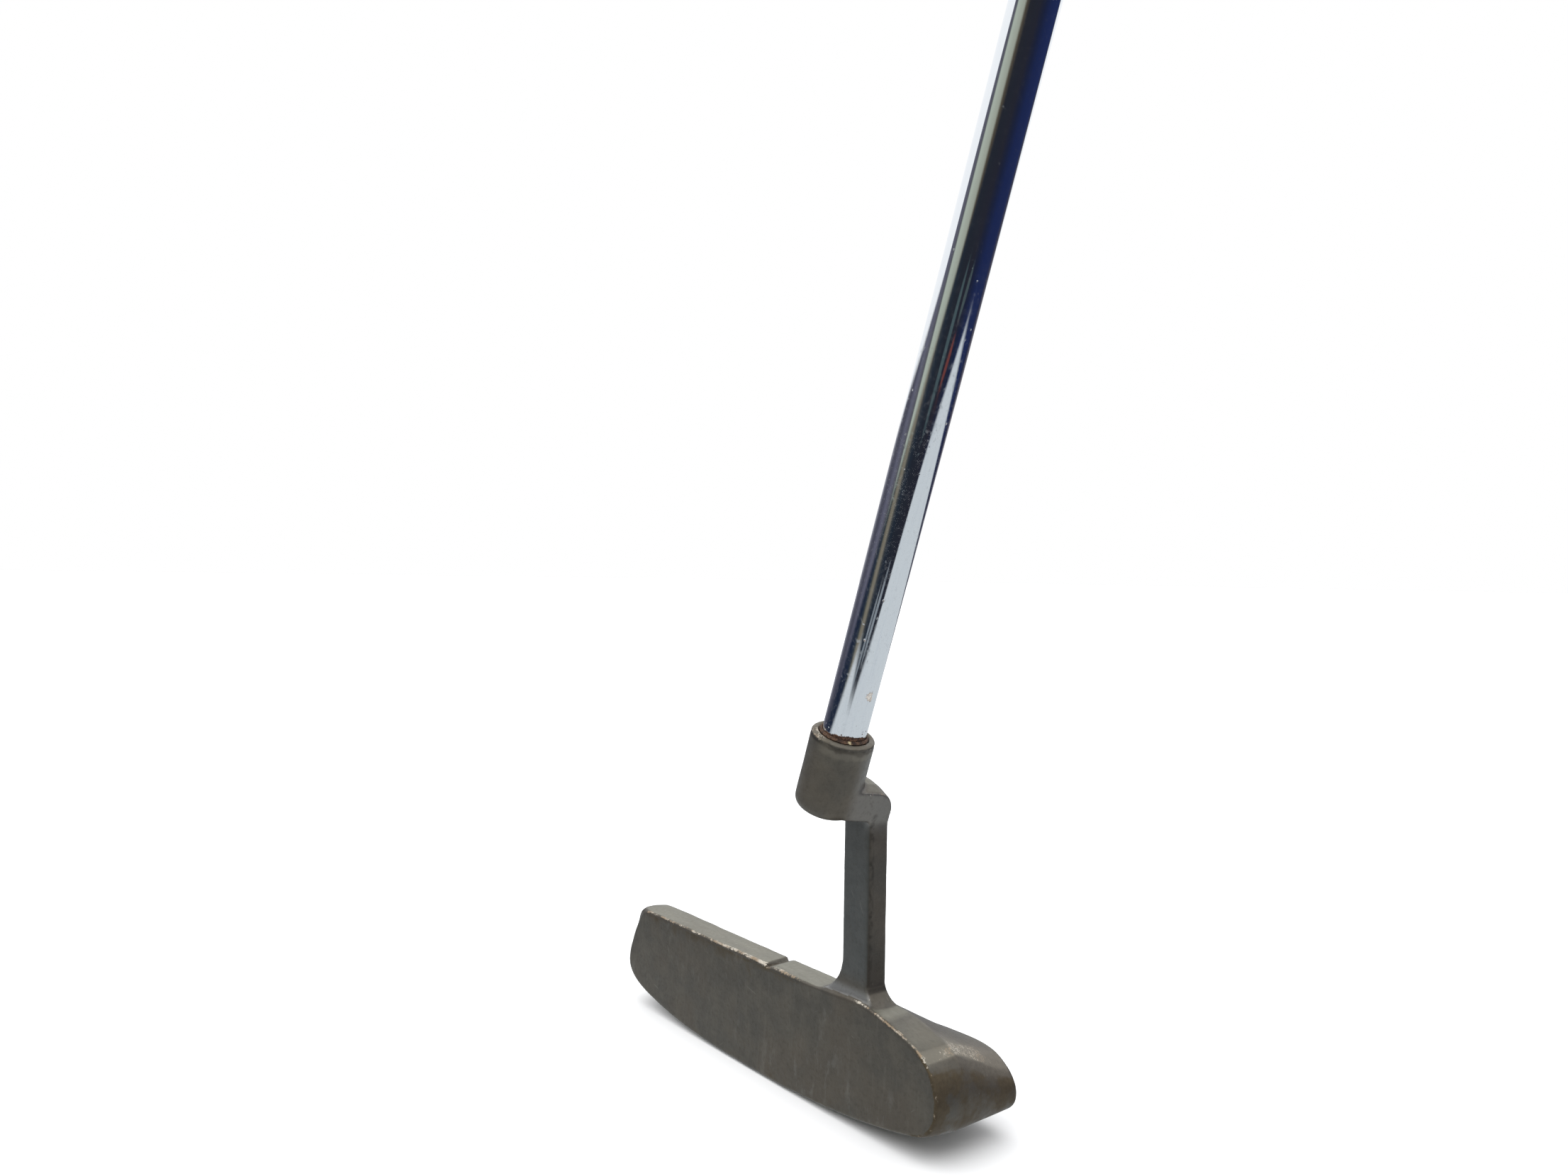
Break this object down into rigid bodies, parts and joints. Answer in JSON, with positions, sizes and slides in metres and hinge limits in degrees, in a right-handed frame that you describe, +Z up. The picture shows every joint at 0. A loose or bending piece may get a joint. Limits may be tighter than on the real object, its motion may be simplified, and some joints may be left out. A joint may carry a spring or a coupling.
{
  "type": "blade putter",
  "caption": "Right-handed blade putter with a cavity-backed dark bronze head, an offset neck, a stepped chrome steel shaft and a black rubber grip.",
  "frame": {"origin": "on the small flat of the sole, straight below the sighting notch, at ground level", "axes": "+Z up at address, -Y is the way that the strike face looks, -X towards the toe and +X towards the heel and the golfer's hands"},
  "size_m": [0.3822, 0.0454, 0.839],
  "materials": {
    "dark_bronze": "cast and milled bronze with a dark grey-brown patina, worn to bright metal along the edges",
    "chromed_steel": "bright chrome plate, lightly pitted near the head",
    "aged_epoxy": "hard adhesive, browned and rust-stained",
    "cork": "raw cork",
    "tape": "double-sided paper tape",
    "black_rubber": "matt, finely textured",
    "cap_rubber": "smooth matt"
  },
  "bodies": {
    "root": {"putter_head": "dark_bronze", "shaft": "chromed_steel", "hosel_epoxy": "aged_epoxy", "shaft_tip_plug": "cork", "grip_tape": "tape", "grip": "black_rubber", "grip_end_cap": "cap_rubber"}
  },
  "joints": []
}
